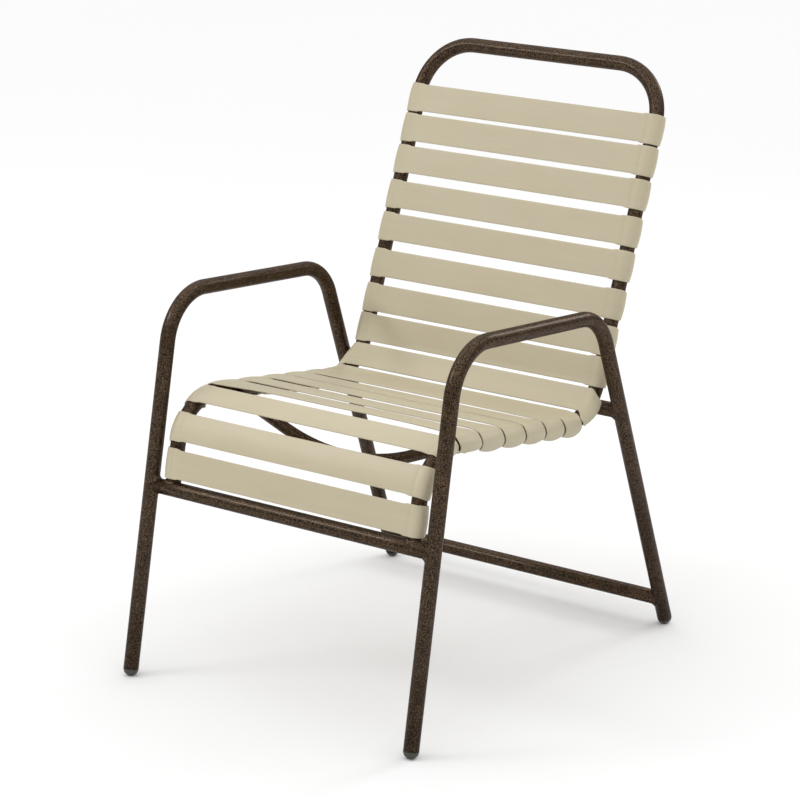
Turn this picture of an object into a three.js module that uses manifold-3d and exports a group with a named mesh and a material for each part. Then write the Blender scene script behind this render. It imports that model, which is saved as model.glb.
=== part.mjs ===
// Welded tube chair with vinyl straps, for a patio or porch.
// Millimetres, +Z up, +X to the right of someone who stands in front of the chair and faces it.
// It is drawn with the front feet on the X axis, and moved at the end so that the origin is on the
// floor under the middle of the chair's outline.
import * as THREE from 'three';
import { mergeVertices } from 'three/addons/utils/BufferGeometryUtils.js';
import Module from 'manifold-3d';

const wasm = await Module();
wasm.setup();

// Tube stock
const frameTubeDiameter = 25.4;
const frameTubeWall = 1.6;
const braceTubeDiameter = 20;
const braceTubeWall = 1.5;

// Side frames: one tube each, bent into front leg, arm and rear leg
const frontFootPastRail = 43.7;
const armFrontPastRail = 39.5;
const armRearPastRail = 42.3;
const rearFootPastRail = 52.7;
const armFrontSetback = 114.6;
const armFrontHeight = 633.1;
const armRearHeight = 601.8;
const rearLegLean = THREE.MathUtils.degToRad(21.594);
const rearLegBehindBendCentre = 49.7;
const bendRadius = 88.9;

// Crossbars between the side frames
const frontCrossbarHeight = 319.1;
const rearCrossbarHeight = 49.9;

// Seat and back frame: one tube, from the front crossbar over the seat and up round the bow
const railHalfSpread = 242;
const railFootSetback = 5;
const frontRise = 151.7;
const frontSlant = THREE.MathUtils.degToRad(11.31);
const seatDepth = 473.2;
const seatFall = THREE.MathUtils.degToRad(8.21);
const backLength = 607.5;
const backRecline = THREE.MathUtils.degToRad(20.87);
const bowBendRadius = 93;

// Brace under the seat: a lighter tube bent down in the middle, clear of a sagging strap
const braceSetback = 214.7;
const braceCornerDrop = 97.8;
const braceBendRadius = 343;

// Vinyl straps
const strapWidth = 48.3;
const strapThickness = 2.3;
const strapEdgeRound = 0.9;
const strapFlare = 1.5;
const wideStrapFlare = 2.5;
const flareStartFromRail = 35;
const flareEndFromRail = 8;
const strapWrapAngle = THREE.MathUtils.degToRad(205);
const rearBarStrapWrapAngle = THREE.MathUtils.degToRad(140);
const braceStrapWrapAngle = THREE.MathUtils.degToRad(158);
const firstStrapBelowBow = 13.2;
const rearBarStrapPastBar = 11.7;
const seatEdgeStrapBeforeBend = 25.8;
const lastStrapAboveCrossbar = 4.95;

// Least gap between straps on each stretch, and how far each strap lies off an even spacing
const backStrapGap = 10.2;
const seatStrapGap = 11;
const frontStrapGap = 21.5;
const backStrapShiftShares = [-0.0729, -0.0982, -0.013, -0.0145, 0.1031, 0.1714, 0.0814];
const seatStrapShiftShares = [-0.0517, -0.1706, -0.1385, -0.2154, -0.0573];
const frontStrapShiftShares = [0.0592, 0.1043];
const wideFlareFromShare = 0.5;

// Rivets that hold the strap ends to the rails
const rivetHeadDiameter = 12;
const rivetHeadHeight = 1.8;
const rivetShankDiameter = 5;
const rivetGripPastWall = 3;
const rivetAngleFromEnd = THREE.MathUtils.degToRad(24);

// Foot plugs pressed into the leg ends
const footDomeHeight = 12;
const footFlatDepth = 0.8;
const footStemLength = 14;

// Weld beads
const weldLeg = 6;
const railFootWeldRise = 2.5;
const weldCrown = 1.2;
const tangentWeldRadius = 7.5;

// Clearances
const fitGap = 0.3;
const strapGap = 0.45;
const stemGap = 0.4;
const cutOverrun = 2;

// Facets
const tubeSides = 14;
const boreSides = 8;
const armBendSteps = 6;
const bowBendSteps = 7;
const railBendSteps = 10;
const braceBendSteps = 5;
const wrapSteps = 9;
const strapPartLength = 8;
const weldSteps = 18;
const weldFacetShare = 1.8;
const shankSides = 4;
const headSides = 8;
const domeRings = 3;

const frameTubeRadius = frameTubeDiameter / 2;
const braceTubeRadius = braceTubeDiameter / 2;

// Materials
const bronzePowderCoat = { color: 0x453a32, roughness: 0.55, metalness: 0.35 };
const beigeVinyl = { color: 0xc9bfa3, roughness: 0.5, metalness: 0 };
const greyNylon = { color: 0x3c3d38, roughness: 0.6, metalness: 0 };

const group = new THREE.Group();

function addPart(name, geometry, finish) {
  const mesh = new THREE.Mesh(geometry, new THREE.MeshStandardMaterial(finish));
  mesh.name = name;
  group.add(mesh);
}

// Bare positions with shared vertices, as a closed solid needs them
function shared(geometry) {
  const bare = geometry.clone();
  bare.deleteAttribute('normal');
  bare.deleteAttribute('uv');
  return mergeVertices(bare);
}

function toSolid(geometry) {
  const merged = shared(geometry);
  return new wasm.Manifold(new wasm.Mesh({
    numProp: 3,
    vertProperties: new Float32Array(merged.attributes.position.array),
    triVerts: new Uint32Array(merged.index.array),
  }));
}

function toGeometry(solid) {
  const mesh = solid.getMesh();
  const geometry = new THREE.BufferGeometry();
  geometry.setAttribute('position', new THREE.BufferAttribute(mesh.vertProperties, 3));
  geometry.setIndex(new THREE.BufferAttribute(mesh.triVerts, 1));
  geometry.computeVertexNormals();
  return geometry;
}

// A path that is given by its stations, so straight runs take no extra sections
class StationPath extends THREE.Curve {
  constructor(points, tangents) {
    super();
    this.points = points;
    this.tangents = tangents;
  }

  getPointAt(share) {
    return this.points[Math.round(share * (this.points.length - 1))].clone();
  }

  getTangentAt(share) {
    return this.tangents[Math.round(share * (this.tangents.length - 1))].clone();
  }
}

// Straight runs between corners, each corner rounded to its radius in its number of steps
function bentPath(corners, radii, steps) {
  const points = [corners[0].clone()];
  const tangents = [corners[1].clone().sub(corners[0]).normalize()];
  for (let i = 1; i < corners.length - 1; i += 1) {
    const arrive = corners[i].clone().sub(corners[i - 1]).normalize();
    const leave = corners[i + 1].clone().sub(corners[i]).normalize();
    const turn = arrive.angleTo(leave);
    const setback = radii[i - 1] * Math.tan(turn / 2);
    const start = corners[i].clone().addScaledVector(arrive, -setback);
    const inward = leave.clone().addScaledVector(arrive, -arrive.dot(leave)).normalize();
    for (let step = 0; step <= steps[i - 1]; step += 1) {
      const angle = (turn * step) / steps[i - 1];
      points.push(start.clone()
        .addScaledVector(arrive, radii[i - 1] * Math.sin(angle))
        .addScaledVector(inward, radii[i - 1] * (1 - Math.cos(angle))));
      tangents.push(arrive.clone().multiplyScalar(Math.cos(angle))
        .addScaledVector(inward, Math.sin(angle)));
    }
  }
  const last = corners.length - 1;
  points.push(corners[last].clone());
  tangents.push(corners[last].clone().sub(corners[last - 1]).normalize());
  return new StationPath(points, tangents);
}

function circlePoints(radius, sides) {
  const points = [];
  for (let i = 0; i < sides; i += 1) {
    const angle = (2 * Math.PI * i) / sides;
    points.push(new THREE.Vector2(radius * Math.cos(angle), radius * Math.sin(angle)));
  }
  return points;
}

function sweep(path, outline, hole) {
  const shape = new THREE.Shape(outline);
  if (hole) shape.holes.push(new THREE.Path(hole));
  return new THREE.ExtrudeGeometry(shape, { steps: path.points.length - 1, extrudePath: path });
}

function tube(path, diameter, wall) {
  return sweep(path, circlePoints(diameter / 2, tubeSides), circlePoints(diameter / 2 - wall, boreSides));
}

function rod(path, radius) {
  return sweep(path, circlePoints(radius, tubeSides));
}

function straight(from, to) {
  const along = to.clone().sub(from).normalize();
  return new StationPath([from, to], [along, along.clone()]);
}

function legPoint(foot, top, height) {
  return foot.clone().lerp(top, height / top.z);
}

// Seat and back profile in the plane of one rail, as corners from the bow down to the front crossbar
const leftFrontFoot = new THREE.Vector3(-railHalfSpread - frontFootPastRail, 0, 0);
const leftArmFront = new THREE.Vector3(-railHalfSpread - armFrontPastRail, armFrontSetback, armFrontHeight);
const frontCrossbarSetback = legPoint(leftFrontFoot, leftArmFront, frontCrossbarHeight).y;
const frontCrossbarCentre = new THREE.Vector3(0, frontCrossbarSetback, frontCrossbarHeight);
const railFoot = frontCrossbarCentre.clone().add(new THREE.Vector3(0, railFootSetback, 0));
const frontCorner = railFoot.clone().add(new THREE.Vector3(0, frontRise * Math.tan(frontSlant), frontRise));
const backCorner = frontCorner.clone()
  .add(new THREE.Vector3(0, seatDepth, -seatDepth * Math.tan(seatFall)));
const bowCorner = backCorner.clone()
  .add(new THREE.Vector3(0, backLength * Math.sin(backRecline), backLength * Math.cos(backRecline)));

// The strap's middle surface rides above the rail by this much
const strapRide = frameTubeRadius + strapGap + strapThickness / 2;

// Strap line: the rail profile measured along the strap's middle surface, from the bow down.
// Each stretch is straight or an arc; the seat and back meet in a hollow bend, the front in a round one.
const profileBends = [
  { corner: backCorner, before: bowCorner, after: frontCorner, hollow: true },
  { corner: frontCorner, before: backCorner, after: railFoot, hollow: false },
].map(({ corner, before, after, hollow }) => {
  const arrive = corner.clone().sub(before).normalize();
  const leave = after.clone().sub(corner).normalize();
  const turn = arrive.angleTo(leave);
  const setback = bendRadius * Math.tan(turn / 2);
  const inward = leave.clone().addScaledVector(arrive, -arrive.dot(leave)).normalize();
  const start = corner.clone().addScaledVector(arrive, -setback);
  const centre = start.clone().addScaledVector(inward, bendRadius);
  const end = corner.clone().addScaledVector(leave, setback);
  const length = turn * (hollow ? bendRadius - strapRide : bendRadius + strapRide);
  return { arrive, leave, inward, turn, start, centre, end, length };
});

const [seatBend, frontBend] = profileBends;

// Rear leg line: it leans forward and passes behind the hollow bend's centre. The bar behind the seat
// lies on it, where the bar just touches the rails.
const rearLegUp = new THREE.Vector3(0, -Math.sin(rearLegLean), Math.cos(rearLegLean));
const rearLegOut = new THREE.Vector3(0, Math.cos(rearLegLean), Math.sin(rearLegLean));
const rearLegBesideBend = seatBend.centre.clone().addScaledVector(rearLegOut, rearLegBehindBendCentre);
const rearSeatBarReach = bendRadius + frameTubeDiameter + fitGap;
const rearSeatBarCentre = rearLegBesideBend.clone()
  .addScaledVector(rearLegUp, -Math.sqrt(rearSeatBarReach ** 2 - rearLegBehindBendCentre ** 2));

function rearLegSetback(height) {
  return rearLegBesideBend.y - (height - rearLegBesideBend.z) * Math.tan(rearLegLean);
}

// Side frame centre line; side is -1 for the left and 1 for the right
function sideCorners(side) {
  const spread = (pastRail) => side * (railHalfSpread + pastRail);
  return [
    new THREE.Vector3(spread(frontFootPastRail), 0, 0),
    new THREE.Vector3(spread(armFrontPastRail), armFrontSetback, armFrontHeight),
    new THREE.Vector3(spread(armRearPastRail), rearLegSetback(armRearHeight), armRearHeight),
    new THREE.Vector3(spread(rearFootPastRail), rearLegSetback(0), 0),
  ];
}
const [, , leftArmRear, leftRearFoot] = sideCorners(-1);

// The tube stops where the foot plug's dome begins, so that the dome's flat stands on the floor
function legEnd(foot, top) {
  const up = top.clone().sub(foot).normalize();
  const tilt = Math.acos(up.z);
  const domeReach = Math.hypot(frameTubeRadius * Math.sin(tilt), footDomeHeight * Math.cos(tilt));
  return legPoint(foot, top, domeReach - footFlatDepth);
}

function sidePath(side) {
  const [frontFoot, armFront, armRear, rearFoot] = sideCorners(side);
  const corners = [legEnd(frontFoot, armFront), armFront, armRear, legEnd(rearFoot, armRear)];
  return bentPath(corners, [bendRadius, bendRadius], [armBendSteps, armBendSteps]);
}

const sideNames = new Map([[-1, 'left'], [1, 'right']]);

for (const [side, word] of sideNames) {
  addPart(`side_frame_${word}`, shared(tube(sidePath(side), frameTubeDiameter, frameTubeWall)), bronzePowderCoat);
}

// Foot plug: a stem inside the tube and a dome below it, cut flat where it meets the floor
function footPlug(foot, top) {
  const stemRadius = (frameTubeRadius - frameTubeWall) * Math.cos(Math.PI / boreSides) - stemGap;
  const profile = [new THREE.Vector2(0, -footDomeHeight)];
  for (let ring = 1; ring <= domeRings; ring += 1) {
    const angle = (Math.PI / 2) * (1 - ring / domeRings);
    const out = frameTubeRadius * Math.cos(angle);
    profile.push(new THREE.Vector2(out, -footDomeHeight * Math.sin(angle) - (ring === domeRings ? fitGap : 0)));
  }
  profile.push(new THREE.Vector2(stemRadius, -fitGap));
  profile.push(new THREE.Vector2(stemRadius, footStemLength));
  profile.push(new THREE.Vector2(0, footStemLength));
  const plug = new THREE.LatheGeometry(profile, tubeSides);
  const up = top.clone().sub(foot).normalize();
  plug.applyQuaternion(new THREE.Quaternion().setFromUnitVectors(new THREE.Vector3(0, 1, 0), up));
  const seat = legEnd(foot, top);
  plug.translate(seat.x, seat.y, seat.z);
  const below = new THREE.BoxGeometry(frameTubeDiameter * 2, frameTubeDiameter * 2, frameTubeDiameter);
  below.translate(foot.x, foot.y, -frameTubeDiameter / 2);
  return toGeometry(toSolid(plug).subtract(toSolid(below)));
}

for (const [side, word] of sideNames) {
  const [frontFoot, armFront, armRear, rearFoot] = sideCorners(side);
  addPart(`front_foot_plug_${word}`, footPlug(frontFoot, armFront), greyNylon);
  addPart(`rear_foot_plug_${word}`, footPlug(rearFoot, armRear), greyNylon);
}

function onRail(side, corner) {
  return corner.clone().setX(side * railHalfSpread);
}

const seatFramePath = bentPath(
  [
    onRail(-1, railFoot), onRail(-1, frontCorner), onRail(-1, backCorner), onRail(-1, bowCorner),
    onRail(1, bowCorner), onRail(1, backCorner), onRail(1, frontCorner), onRail(1, railFoot),
  ],
  [bendRadius, bendRadius, bowBendRadius, bowBendRadius, bendRadius, bendRadius],
  [railBendSteps, railBendSteps, bowBendSteps, bowBendSteps, railBendSteps, railBendSteps],
);

// Rail centre, sitter's side and downward direction at a distance along the strap line
function railAt(distance) {
  let left = distance;
  let from = bowCorner;
  for (const bend of profileBends) {
    const run = bend.start.distanceTo(from);
    if (left <= run) return railFrame(from.clone().addScaledVector(bend.arrive, left), bend.arrive);
    left -= run;
    if (left <= bend.length) {
      const angle = (bend.turn * left) / bend.length;
      const point = bend.start.clone()
        .addScaledVector(bend.arrive, bendRadius * Math.sin(angle))
        .addScaledVector(bend.inward, bendRadius * (1 - Math.cos(angle)));
      const down = bend.arrive.clone().multiplyScalar(Math.cos(angle))
        .addScaledVector(bend.inward, Math.sin(angle));
      return railFrame(point, down);
    }
    left -= bend.length;
    from = bend.end;
  }
  return railFrame(from.clone().addScaledVector(frontBend.leave, left), frontBend.leave);
}

function railFrame(point, down) {
  return { point, down, sitterSide: new THREE.Vector3(0, down.z, -down.y) };
}

// Half circle path of a strap: tail, round one rail, across, round the other rail, tail
function strapPath(wrapAngle) {
  const points = [];
  const tangents = [];
  const add = (x, h, tx, th) => {
    points.push(new THREE.Vector3(x, h, 0));
    tangents.push(new THREE.Vector3(tx, th, 0));
  };
  for (let step = wrapSteps; step >= 0; step -= 1) {
    const angle = (wrapAngle * step) / wrapSteps;
    add(-railHalfSpread - strapRide * Math.sin(angle), strapRide * Math.cos(angle), Math.cos(angle), Math.sin(angle));
  }
  for (const fromRail of [flareEndFromRail, flareStartFromRail]) {
    add(-railHalfSpread + fromRail, strapRide, 1, 0);
  }
  for (const fromRail of [flareStartFromRail, flareEndFromRail]) {
    add(railHalfSpread - fromRail, strapRide, 1, 0);
  }
  for (let step = 0; step <= wrapSteps; step += 1) {
    const angle = (wrapAngle * step) / wrapSteps;
    add(railHalfSpread + strapRide * Math.sin(angle), strapRide * Math.cos(angle), Math.cos(angle), -Math.sin(angle));
  }
  return new StationPath(points, tangents);
}

const hollowBendStart = seatBend.start.distanceTo(bowCorner);
const hollowBendEnd = hollowBendStart + seatBend.length;
const roundBendStart = hollowBendEnd + seatBend.end.distanceTo(frontBend.start);
const roundBendEnd = roundBendStart + frontBend.length;
const strapLineEnd = roundBendEnd + frontBend.end.distanceTo(railFoot);
const bentStretches = [[0, bowBendRadius], [hollowBendStart, hollowBendEnd], [roundBendStart, roundBendEnd]];

// Stations across a strap: its two flat edges, and short parts wherever the rail bends under it
function acrossStations(middle) {
  const flat = strapWidth / 2 - strapEdgeRound;
  const stations = [-flat, flat];
  for (const [start, end] of bentStretches) {
    const from = Math.max(start - middle, -flat);
    const to = Math.min(end - middle, flat);
    const parts = Math.ceil((to - from) / strapPartLength);
    for (let i = 0; i <= parts; i += 1) stations.push(from + ((to - from) * i) / parts);
  }
  stations.sort((a, b) => a - b);
  return stations.filter((station, i) => i === 0 || station - stations[i - 1] > strapEdgeRound);
}

// Flat band with rounded edges
function strapOutline(middle) {
  const half = strapWidth / 2;
  const stations = acrossStations(middle);
  return [
    new THREE.Vector2(half, 0),
    ...stations.map((station) => new THREE.Vector2(-station, strapThickness / 2)),
    new THREE.Vector2(-half, 0),
    ...stations.reverse().map((station) => new THREE.Vector2(-station, -strapThickness / 2)),
  ];
}

function smooth(share) {
  const held = THREE.MathUtils.clamp(share, 0, 1);
  return held * held * (3 - 2 * held);
}

// How far the first facet of the bow bend has turned inward where the top strap reaches into it
function bowTuck(distance) {
  const halfFacetTurn = Math.PI / 4 / bowBendSteps;
  return Math.max(0, bowBendRadius - distance) * Math.tan(halfFacetTurn);
}

// Lays a flat strap on the rails: x stays, y is height off the rail centre, z runs down the strap line.
// Pulled tight, the strap spreads a little wider where it turns over each rail.
function layOnRails(geometry, middle, flare) {
  const position = geometry.attributes.position;
  const flareLength = flareStartFromRail - flareEndFromRail;
  for (let i = 0; i < position.count; i += 1) {
    const x = position.getX(i);
    const fromRail = railHalfSpread - Math.abs(x);
    const nearRail = smooth((flareStartFromRail - fromRail) / flareLength);
    const distance = middle + position.getZ(i) * (1 + (nearRail * 2 * flare) / strapWidth);
    const rail = railAt(distance);
    const laid = rail.point.clone().addScaledVector(rail.sitterSide, position.getY(i));
    position.setXYZ(i, x - Math.sign(x) * nearRail * bowTuck(distance), laid.y, laid.z);
  }
  return geometry;
}

// Rivet clinched in the strap, with its shank through the tube wall, along +Y
function rivetGeometry() {
  const under = strapRide;
  const rim = strapRide + strapThickness / 2 + rivetHeadHeight / 2;
  const tip = frameTubeRadius - frameTubeWall - rivetGripPastWall;
  const head = new THREE.LatheGeometry([
    new THREE.Vector2(0, under),
    new THREE.Vector2(rivetHeadDiameter / 2, under),
    new THREE.Vector2(rivetHeadDiameter / 2, rim),
    new THREE.Vector2(0, rim + rivetHeadHeight / 2),
  ], headSides);
  const shank = pin(rivetShankDiameter / 2, tip, rim);
  return toGeometry(toSolid(head).add(toSolid(shank)));
}

function pin(radius, from, to) {
  const geometry = new THREE.CylinderGeometry(radius, radius, to - from, shankSides);
  return geometry.translate(0, (from + to) / 2, 0);
}

// Turns what points along +Y to the wrap angle round one rail, at a distance down the strap line
function placeOnRail(geometry, side, middle, angle) {
  const rail = railAt(middle);
  const out = new THREE.Vector3(side * Math.sin(angle), 0, 0).addScaledVector(rail.sitterSide, Math.cos(angle));
  const cross = new THREE.Vector3().crossVectors(rail.down, out);
  const turn = new THREE.Matrix4().makeBasis(cross, out, rail.down.clone().negate());
  if (turn.determinant() < 0) turn.makeBasis(cross.negate(), out, rail.down.clone().negate());
  return geometry.clone().applyMatrix4(turn).translate(side * railHalfSpread, rail.point.y, rail.point.z);
}

function holeAt(side, middle, angle) {
  const reach = strapRide + cutOverrun;
  const hole = pin(rivetShankDiameter / 2 + fitGap, frameTubeRadius / 2, reach);
  return toSolid(placeOnRail(hole, side, middle, angle));
}

// Places along the strap line where the rear seat bar touches the rails, and where the brace meets them
const turnToBar = seatBend.start.clone().sub(seatBend.centre)
  .angleTo(rearSeatBarCentre.clone().sub(seatBend.centre));
const barPlace = hollowBendStart + turnToBar * (bendRadius - strapRide);
const bracePlace = roundBendStart - (braceSetback - frontBend.start.y) / Math.cos(seatFall);

// A strap that crosses either place ends sooner, clear of what is welded there
function wrapAngleAt(middle) {
  const reach = strapWidth / 2 + wideStrapFlare;
  if (Math.abs(middle - barPlace) < reach + tangentWeldRadius) return rearBarStrapWrapAngle;
  if (Math.abs(middle - bracePlace) < reach + braceTubeRadius + weldLeg) return braceStrapWrapAngle;
  return strapWrapAngle;
}

// Straps after the one at the start of a stretch, up to and with the one at its end
function strapsOn([start, end], leastGap, shiftShares) {
  const count = Math.floor((end - start) / (strapWidth + leastGap));
  const spacing = (end - start) / count;
  return Array.from({ length: count }, (_, i) => {
    const shift = i + 1 < count ? shiftShares[i] ?? 0 : 0;
    return { middle: start + (i + 1 + shift) * spacing, share: (i + 1) / count };
  });
}

const firstStrap = bowBendRadius + firstStrapBelowBow;
const rearBarStrap = barPlace + rearBarStrapPastBar;
const seatEdgeStrap = roundBendStart - seatEdgeStrapBeforeBend;
const lastStrap = strapLineEnd - frameTubeRadius - strapWidth / 2 - lastStrapAboveCrossbar;
const straps = [
  { middle: firstStrap, flare: strapFlare },
  ...strapsOn([firstStrap, rearBarStrap], backStrapGap, backStrapShiftShares)
    .map(({ middle }) => ({ middle, flare: strapFlare })),
  ...strapsOn([rearBarStrap, seatEdgeStrap], seatStrapGap, seatStrapShiftShares)
    .map(({ middle, share }) => ({ middle, flare: share < wideFlareFromShare ? strapFlare : wideStrapFlare })),
  ...strapsOn([seatEdgeStrap, lastStrap], frontStrapGap, frontStrapShiftShares)
    .map(({ middle }) => ({ middle, flare: strapFlare })),
];

// Straps from the top of the back down over the seat to the front, each with its rivets behind both rails
const rivet = rivetGeometry();
const railHoles = [];

straps.forEach(({ middle, flare }, index) => {
  const wrapAngle = wrapAngleAt(middle);
  const angle = wrapAngle - rivetAngleFromEnd;
  const band = sweep(strapPath(wrapAngle), strapOutline(middle));
  let strap = toSolid(layOnRails(band, middle, flare));
  for (const side of sideNames.keys()) {
    strap = strap.add(toSolid(placeOnRail(rivet, side, middle, angle)));
    railHoles.push(holeAt(side, middle, angle));
  }
  const number = String(index + 1).padStart(2, '0');
  addPart(`strap_${number}`, toGeometry(strap), beigeVinyl);
});

// Crossbars: straight tubes coped round what they meet
function axisRod(point, along, radius) {
  const reach = along.clone().multiplyScalar(frameTubeDiameter * 2);
  return toSolid(rod(straight(point.clone().sub(reach), point.clone().add(reach)), radius));
}

const copeRadius = (frameTubeRadius + fitGap) / Math.cos(Math.PI / tubeSides);

function crossbar(height, setback, foot, top) {
  const leg = legPoint(foot, top, height);
  const half = Math.abs(leg.x);
  const from = new THREE.Vector3(-half, setback, height);
  const to = new THREE.Vector3(half, setback, height);
  let bar = toSolid(tube(straight(from, to), frameTubeDiameter, frameTubeWall));
  for (const side of sideNames.keys()) {
    const up = top.clone().sub(foot);
    up.x *= -side;
    bar = bar.subtract(axisRod(new THREE.Vector3(side * half, leg.y, height), up.normalize(), copeRadius));
  }
  return bar;
}

const frontCrossbar = crossbar(frontCrossbarHeight, frontCrossbarSetback, leftFrontFoot, leftArmFront);
const rearCrossbarSetback = legPoint(leftRearFoot, leftArmRear, rearCrossbarHeight).y;
const rearCrossbar = crossbar(rearCrossbarHeight, rearCrossbarSetback, leftRearFoot, leftArmRear);

const rearSeatBar = crossbar(rearSeatBarCentre.z, rearSeatBarCentre.y, leftRearFoot, leftArmRear);

addPart('front_crossbar', toGeometry(frontCrossbar), bronzePowderCoat);
addPart('rear_crossbar', toGeometry(rearCrossbar), bronzePowderCoat);
addPart('rear_seat_bar', toGeometry(rearSeatBar), bronzePowderCoat);

// Seat and back frame: coped on the front crossbar and drilled for the rivets
let seatFrame = toSolid(tube(seatFramePath, frameTubeDiameter, frameTubeWall));
for (const side of sideNames.keys()) {
  seatFrame = seatFrame.subtract(axisRod(onRail(side, frontCrossbarCentre), new THREE.Vector3(1, 0, 0), copeRadius));
}
for (const hole of railHoles) seatFrame = seatFrame.subtract(hole);
addPart('seat_back_frame', toGeometry(seatFrame), bronzePowderCoat);

// Brace: a wide shallow V with a round bottom, coped on the insides of the rails
const seatSlope = Math.tan(seatFall);
const braceEndHeight = frontCorner.z - (braceSetback - frontCorner.y) * seatSlope;
const braceCorners = [
  new THREE.Vector3(-railHalfSpread, braceSetback, braceEndHeight),
  new THREE.Vector3(0, braceSetback, braceEndHeight - braceCornerDrop),
  new THREE.Vector3(railHalfSpread, braceSetback, braceEndHeight),
];
const seatLine = new THREE.Vector3(0, Math.cos(seatFall), -Math.sin(seatFall));
let brace = toSolid(tube(bentPath(braceCorners, [braceBendRadius], [braceBendSteps]), braceTubeDiameter, braceTubeWall));
for (const end of [braceCorners[0], braceCorners[2]]) {
  brace = brace.subtract(axisRod(end, seatLine, copeRadius));
}
addPart('seat_brace', toGeometry(brace), bronzePowderCoat);

// Weld bead round the end of tube A where it lands on the side of tube B.
// Each section has its root in the corner, a toe on each tube and a low crown between the toes.
// Both tubes count as a little wider here, so that the bead's facets stay outside them.
function weldBead(endA, towardB, radiusA, onB, alongB, riseOnA) {
  const facetSpread = 1 / Math.cos((weldFacetShare * Math.PI) / weldSteps);
  const outA = (radiusA + fitGap) * facetSpread;
  const outB = (frameTubeRadius + fitGap) * facetSpread;
  const level = new THREE.Vector3().crossVectors(towardB, alongB).normalize();
  const upright = new THREE.Vector3().crossVectors(towardB, level).normalize();
  const flatten = (v) => v.clone().addScaledVector(alongB, -v.dot(alongB));
  const ontoB = (point) => {
    const radial = flatten(point.clone().sub(onB));
    return point.clone().addScaledVector(radial.clone().normalize(), outB - radial.length());
  };
  const positions = [];
  const indices = [];
  const sectionPoints = 5;
  for (let step = 0; step < weldSteps; step += 1) {
    const angle = (2 * Math.PI * step) / weldSteps;
    const away = level.clone().multiplyScalar(Math.cos(angle)).addScaledVector(upright, Math.sin(angle));
    const line = endA.clone().addScaledVector(away, outA);
    const a = flatten(towardB);
    const b = flatten(line.clone().sub(onB));
    const spread = Math.max(0, a.dot(b) ** 2 - a.lengthSq() * (b.lengthSq() - outB ** 2));
    const reach = (-a.dot(b) - Math.sqrt(spread)) / a.lengthSq();
    const root = line.clone().addScaledVector(towardB, reach);
    const normalB = flatten(root.clone().sub(onB)).normalize();
    const slide = away.clone().add(towardB);
    slide.addScaledVector(normalB, -slide.dot(normalB)).normalize();
    const toeA = root.clone().addScaledVector(towardB, -riseOnA);
    const toeB = ontoB(root.clone().addScaledVector(slide, weldLeg));
    const underB = ontoB(root.clone().addScaledVector(slide, weldLeg / 2));
    const crown = toeA.clone().add(toeB).multiplyScalar(0.5)
      .addScaledVector(away.clone().add(normalB).normalize(), weldCrown);
    for (const point of [root, toeA, crown, toeB, underB]) positions.push(point.x, point.y, point.z);
    const here = step * sectionPoints;
    const next = ((step + 1) % weldSteps) * sectionPoints;
    for (let i = 0; i < sectionPoints; i += 1) {
      const j = (i + 1) % sectionPoints;
      indices.push(here + i, next + i, here + j, here + j, next + i, next + j);
    }
  }
  const ring = new THREE.BufferGeometry();
  ring.setAttribute('position', new THREE.Float32BufferAttribute(positions, 3));
  ring.setIndex(indices);
  return ring;
}

function barWeld(side, height, setback, foot, top) {
  const leg = legPoint(foot, top, height);
  const onLeg = new THREE.Vector3(side * Math.abs(leg.x), leg.y, height);
  const up = top.clone().sub(foot);
  up.x *= -side;
  const inner = new THREE.Vector3(0, setback, height);
  return weldBead(inner, new THREE.Vector3(side, 0, 0), frameTubeRadius, onLeg, up.normalize(), weldLeg);
}

for (const [side, word] of sideNames) {
  addPart(
    `weld_front_crossbar_${word}`,
    barWeld(side, frontCrossbarHeight, frontCrossbarSetback, leftFrontFoot, leftArmFront),
    bronzePowderCoat,
  );
  addPart(
    `weld_rear_crossbar_${word}`,
    barWeld(side, rearCrossbarHeight, rearCrossbarSetback, leftRearFoot, leftArmRear),
    bronzePowderCoat,
  );
  addPart(
    `weld_rear_seat_bar_${word}`,
    barWeld(side, rearSeatBarCentre.z, rearSeatBarCentre.y, leftRearFoot, leftArmRear),
    bronzePowderCoat,
  );
  const railDown = railFoot.clone().sub(frontCorner).normalize();
  const onCrossbar = onRail(side, frontCrossbarCentre);
  const level = new THREE.Vector3(1, 0, 0);
  addPart(
    `weld_rail_foot_${word}`,
    weldBead(onRail(side, frontCorner), railDown, frameTubeRadius, onCrossbar, level, railFootWeldRise),
    bronzePowderCoat,
  );
  const braceEnd = side < 0 ? braceCorners[0] : braceCorners[2];
  const braceOut = braceEnd.clone().sub(braceCorners[1]).normalize();
  addPart(
    `weld_seat_brace_${word}`,
    weldBead(braceCorners[1], braceOut, braceTubeRadius, braceEnd, seatLine, weldLeg),
    bronzePowderCoat,
  );
}

// Weld fill between the rear seat bar and each rail, in the wedge round the spot where they touch
const contactOut = rearSeatBarCentre.clone().sub(seatBend.centre).normalize();
const contact = seatBend.centre.clone().addScaledVector(contactOut, bendRadius + frameTubeRadius + fitGap / 2);
const grownSeatFrame = toSolid(rod(seatFramePath, frameTubeRadius + fitGap));
const grownSeatBar = axisRod(rearSeatBarCentre, new THREE.Vector3(1, 0, 0), frameTubeRadius + fitGap);

for (const [side, word] of sideNames) {
  const plug = new THREE.CylinderGeometry(tangentWeldRadius, tangentWeldRadius, tangentWeldRadius, tubeSides);
  plug.applyQuaternion(new THREE.Quaternion().setFromUnitVectors(new THREE.Vector3(0, 1, 0), contactOut));
  plug.translate(side * railHalfSpread, contact.y, contact.z);
  const bar = grownSeatBar.translate([side * railHalfSpread, 0, 0]);
  const fill = toSolid(plug).subtract(grownSeatFrame).subtract(bar);
  addPart(`weld_rail_bend_${word}`, toGeometry(fill), bronzePowderCoat);
}

const outline = new THREE.Box3().setFromObject(group);
group.position.y = -(outline.min.y + outline.max.y) / 2;

export default group;
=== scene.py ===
import bpy
import numpy as np
from mathutils import Matrix, Vector


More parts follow.
